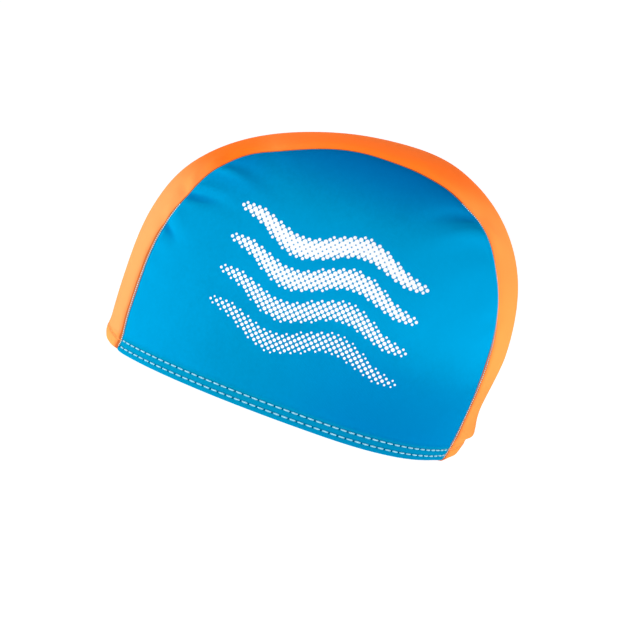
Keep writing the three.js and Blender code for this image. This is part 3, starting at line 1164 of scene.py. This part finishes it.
def strip_rows(t, raised):
    """The stitches of the strip's row, in front and at the nape, and the outward directions along them."""
    pitch = bpy.context.scene.cap_cloth.stitch_pitch / MM
    length = bpy.context.scene.cap_thread.length / MM
    sunk, high = HEM_STITCH["strip"]
    margin = HEM_STITCH["margin"]
    share = np.linspace(-1.0, 1.0, 400)
    paths, normals = [], []
    for end in (-1, 1):
        angle = angle_at_height(end, share, -NEAR_SEAM_GAP, strip_row_at(share))
        p, from_seam, offset = on_strip(angle, share)
        outer, _, outward = strip_faces(share, p, from_seam, offset)
        run = run_along(p)
        begin = np.arange(margin, run[-1] - margin - length, pitch)
        at = begin[:, None] + length * t
        path = np.stack([np.interp(at, run, outer[:, k]) for k in range(3)], -1)
        normal = np.stack([np.interp(at, run, outward[:, k]) for k in range(3)], -1)
        paths.append(path + normal * (sunk + high * raised)[None, :, None])
        normals.append(normal)
    return np.concatenate(paths), np.concatenate(normals)


class HemStitches(bpy.types.Operator):
    """Sews two rows of white stitches on each side panel's hem, and a row in orange on the strip's"""

    bl_idname = "swim_cap.hem_stitches"
    bl_label = "Hem stitches"

    def execute(self, context):
        thread = context.scene.cap_thread
        white = thread_material("white_thread", tuple(thread.white), 0.0011)
        orange = thread_material("orange_thread", tuple(thread.orange), 0.0011)
        t, full, raised = stitch_steps(11)
        half = thread.half_width
        path, normal = panel_rows(t, raised)
        for side, name in SIDES:
            ends = on_side(path, side), on_side(normal, side)
            width_and_height = (half, PANEL_THREAD_HEIGHT * half)
            sew(name + "_hem_stitches", *ends, width_and_height, white, full=full, sides=8)
        half = half * STRIP_THREAD["width"]
        width_and_height = (half, STRIP_THREAD["height"] * half)
        sew("strip_hem_stitches", *strip_rows(t, raised), width_and_height, orange, "strip_knit", full, 8)
        return {"FINISHED"}


class SeamThread(bpy.types.Operator):
    """Lays the fine white thread that shows between the panels and the strip"""

    bl_idname = "swim_cap.seam_thread"
    bl_label = "Seam thread"

    def execute(self, context):
        thread = context.scene.cap_thread
        size = context.scene.cap_cloth
        white = thread_material("seam_thread", (0.66, 1.0, 1.0), 0.0006)
        fine = np.radians(np.linspace(0.2, 179.8, 3600))
        run = run_along(strip_point(fine, 1.0, 0.0))
        t = np.linspace(0.0, 1.0, 5)
        starts = []
        for low, high in SEAM_THREAD_SHOWS:
            ends = np.interp(np.radians([low, high]), fine, run)
            starts.append(np.arange(ends[0], ends[1], thread.seam_pitch / MM))
        at = np.concatenate(starts)[:, None] + SEAM_STITCH["length"] * t
        angle = np.interp(at, run, fine)
        from_middle = strip_half(angle, SEAM_STITCH["aside"] - SEAM_STITCH["slant"] * t[None])
        p = at_angle(angle, from_middle)
        outward = outward_at(p)
        shown = sum(smooth(np.degrees(angle), low, high) for low, high in SEAM_THREAD_RISES)
        lift = SEAM_STITCH["raised"] * shown + SEAM_STITCH["arch"] * np.sin(math.pi * t)
        depth = lift - SEAM_STITCH["sunk"] - size.panel_dip / MM - fold_at(angle, 0.0, False)
        path = risen_with_hem(p) + outward * depth[..., None]
        full = np.array([0.5, 0.95, 1.0, 0.95, 0.5])
        for side, name in SIDES:
            ends = on_side(path, side), on_side(outward, side)
            sew(name + "_seam_thread", *ends, SEAM_THREAD_HALF, white, full=full)
        return {"FINISHED"}


def beside_seam(angle, distance, sunk):
    """Points under a panel's inner face, at a distance from the seam, and the outward directions there."""
    size = bpy.context.scene.cap_cloth
    p = at_angle(angle, strip_half(angle, NEAR_SEAM_GAP + distance))
    outward = outward_at(p)
    dip = size.panel_dip / MM * bump(distance, size.dip_reach / MM)
    depth = wave_at(p) - dip - fold_at(angle, distance, False) - size.wall / MM - sunk
    return risen_with_hem(p) + outward * depth[..., None], outward


class SeamInside(bpy.types.Operator):
    """Folds the seam allowances against the panels inside the cap, and sews over their edges"""

    bl_idname = "swim_cap.seam_inside"
    bl_label = "Inside of the seams"

    def execute(self, context):
        size = context.scene.cap_cloth
        thread = context.scene.cap_thread
        white = thread_material("overlock_thread", tuple(thread.white), 0.0008)
        orange = knit_material("allowance_knit", tuple(size.strip_colour), STRIP_LOOK, 0.0004)
        first, last = (angle_at_height(end, 1.0, NEAR_SEAM_GAP, ALLOWANCE["start"]) for end in (-1, 1))
        angle = np.linspace(first, last, 420)[:, None]
        distance = np.linspace(0.2, ALLOWANCE["width"], 10)[None]
        edge = rolled(np.minimum(distance, ALLOWANCE["width"] - distance + 0.1), ALLOWANCE["roll"])
        outer, _ = beside_seam(angle, distance, ALLOWANCE["off"] + edge)
        inner, _ = beside_seam(angle, distance, ALLOWANCE["off"] + ALLOWANCE["thick"] - edge)
        uv = np.stack(np.broadcast_arrays(distance, angle * CROWN_HEIGHT), -1) * MM
        fine = np.linspace(first, last, 3000)
        run = run_along(strip_point(fine, 1.0, 0.0))
        t = np.linspace(0.0, 1.0, 9)
        loop = OVERLOCK["length"]
        starts = np.arange(1.0, run[-1] - loop - 1.0, loop)
        at = np.interp(starts[:, None] + loop * t, run, fine)
        near, far = OVERLOCK["inner_end"], ALLOWANCE["width"] + OVERLOCK["past_edge"]
        swing = near + (far - near) * np.abs(2.0 * t - 1.0)
        path, normal = beside_seam(at, swing[None], ALLOWANCE["thick"] + OVERLOCK["lift"])
        loops, loops_normal = hem_loops(t)
        for side, name in SIDES:
            faces = [centred(on_side(face, side)) for face in (outer, inner)]
            shell = cloth_shell(name + "_seam_allowance", *faces, dict(cloth=uv, seam=uv), side < 0)
            finish_piece(shell, (orange, orange))
            ends = on_side(path, side), on_side(normal, side)
            sew(name + "_overlock", *ends, OVERLOCK["half"], white)
            ends = on_side(loops, side), on_side(loops_normal, side)
            sew(name + "_hem_loops", *ends, HEM_LOOPS["half"], white)
        return {"FINISHED"}


def hem_loops(t):
    """The zigzag of the hem's lower thread, across its two rows on the inside."""
    size = bpy.context.scene.cap_cloth
    low, high = size.lower_row / MM, size.upper_row / MM
    x = hem_x(hem_places()[:, None] + size.stitch_pitch / MM * t)
    z = np.broadcast_to(high + (low - high) * np.abs(2.0 * t - 1.0), x.shape)
    _, inner, outward = panel_faces(*on_panel(x, z))
    return inner - outward * HEM_LOOPS["lift"], outward


class Stage(bpy.types.Operator):
    """Sets out the floor, the soft light and the camera"""

    bl_idname = "swim_cap.stage"
    bl_label = "Stage"

    def execute(self, context):
        stage = context.scene.cap_stage
        scene = context.scene
        scene.view_settings.view_transform = "Standard"
        span = 6.0
        corners = np.array([[-span, -span, 0], [span, -span, 0], [span, span, 0], [-span, span, 0]], float)
        floor = new_object("floor", corners, np.array([[0, 1, 2, 3]]))
        floor.data.materials.append(floor_material())
        world_light(scene, stage)
        area_light("left_softbox", (-0.90, -0.70, 0.16), (0.0, 0.0, 0.07), 0.5, stage.left_box)
        area_light("right_softbox", (0.95, -0.60, 0.25), (0.0, 0.0, 0.07), 0.5, stage.right_box)
        camera_for(stage)
        return {"FINISHED"}


def floor_material():
    stage = bpy.context.scene.cap_stage
    shader = Shader("pale_floor")
    grain = shader.noise(shader.place(), 30.0, 2.0, 0.5)
    base = shader.mix(grain, shade(stage.floor_colour, 0.99), shade(stage.floor_colour, 1.0))
    shader.set(Base_Color=base, Roughness=0.9, Specular_IOR_Level=0.05)
    shader.set(Emission_Color=(1.0, 1.0, 1.0, 1.0), Emission_Strength=stage.floor_glow)
    return shader.material


def world_light(scene, stage):
    """White at the level behind the cap and brighter to the left and right, darker behind the camera
    and overhead, as between two lit walls under a dim ceiling."""
    world = bpy.data.worlds.new("studio")
    scene.world = world
    nodes = NodeTree(world, "ShaderNodeOutputWorld")
    x, y, z = nodes.parts(nodes.add("ShaderNodeTexCoord", output="Generated"))
    behind = y.ramp(0.3, 0.85, 0.0, stage.behind) * z.ramp(0.12, 0.35, 1.0, 0.1)
    beside = x * x * z.ramp(0.1, 0.6, stage.beside, 0.1 * stage.beside)
    around = z.ramp(0.1, 0.7, stage.around, 0.35 * stage.around)
    colour = nodes.mix(z.ramp(0.12, 0.8), (1.0, 1.0, 1.0, 1.0), (0.5, 0.58, 1.0, 1.0))
    light = nodes.add("ShaderNodeBackground", {}, Color=colour, Strength=(behind + beside) + around)
    nodes.put(nodes.output, light)


def area_light(name, place, target, width, power):
    data = bpy.data.lights.new(name, "AREA")
    data.shape = "SQUARE"
    data.size = width
    data.energy = power
    light = bpy.data.objects.new(name, data)
    light.location = place
    light.rotation_euler = (Vector(target) - Vector(place)).to_track_quat("-Z", "Y").to_euler()
    bpy.context.scene.collection.objects.link(light)


def camera_for(stage):
    """The camera at the photo's angle: a little above the level, and rolled so that the cap leans."""
    e, a, roll = stage.elevation, stage.azimuth, stage.roll
    back = Vector((math.sin(a) * math.cos(e), -math.cos(a) * math.cos(e), math.sin(e)))
    right = Vector((math.cos(a), math.sin(a), 0.0))
    up = back.cross(right)
    crown_axis = Vector((CROWN_BEHIND_MIDDLE * MM, 0.0, 0.065))
    eye = crown_axis + back * stage.distance
    target = crown_axis - right * 0.0226 - up * 0.0186
    back = (eye - target).normalized()
    right = up.cross(back).normalized()
    up = back.cross(right)
    turned_right = right * math.cos(roll) + up * math.sin(roll)
    turned_up = up * math.cos(roll) - right * math.sin(roll)
    data = bpy.data.cameras.new("camera")
    data.sensor_width = 36.0
    data.lens = 36.0 * stage.distance / stage.frame_width
    data.clip_end = 50.0
    camera = bpy.data.objects.new("camera", data)
    matrix = Matrix((turned_right, turned_up, back)).transposed().to_4x4()
    matrix.translation = eye
    camera.matrix_world = matrix
    bpy.context.scene.collection.objects.link(camera)
    bpy.context.scene.camera = camera


class SwimCapPanel(bpy.types.Panel):
    """Lists the cap's sizes and the buttons that build it"""

    bl_idname = "VIEW3D_PT_swim_cap"
    bl_label = "Swim Cap"
    bl_space_type = "VIEW_3D"
    bl_region_type = "UI"
    bl_category = "Swim Cap"

    def draw(self, context):
        for name in GROUPS:
            group = getattr(context.scene, name)
            box = self.layout.box()
            for key in group.__annotations__:
                box.prop(group, key)
        for operator in OPERATORS:
            self.layout.operator(operator.bl_idname)


GROUPS = {"cap_cloth": CapCloth, "cap_thread": CapThread, "cap_print": CapPrint, "cap_stage": CapStage}
OPERATORS = (SidePanels, CentreStrip, HemStitches, SeamThread, SeamInside, Stage)


def register():
    for cls in (*GROUPS.values(), *OPERATORS, SwimCapPanel):
        bpy.utils.register_class(cls)
    for name, group in GROUPS.items():
        setattr(bpy.types.Scene, name, bpy.props.PointerProperty(type=group))


def unregister():
    for name in GROUPS:
        delattr(bpy.types.Scene, name)
    for cls in reversed((*GROUPS.values(), *OPERATORS, SwimCapPanel)):
        bpy.utils.unregister_class(cls)


def main():
    register()
    bpy.ops.swim_cap.side_panels()
    bpy.ops.swim_cap.centre_strip()
    bpy.ops.swim_cap.hem_stitches()
    bpy.ops.swim_cap.seam_thread()
    bpy.ops.swim_cap.seam_inside()
    bpy.ops.swim_cap.stage()


if __name__ == "__main__":
    main()
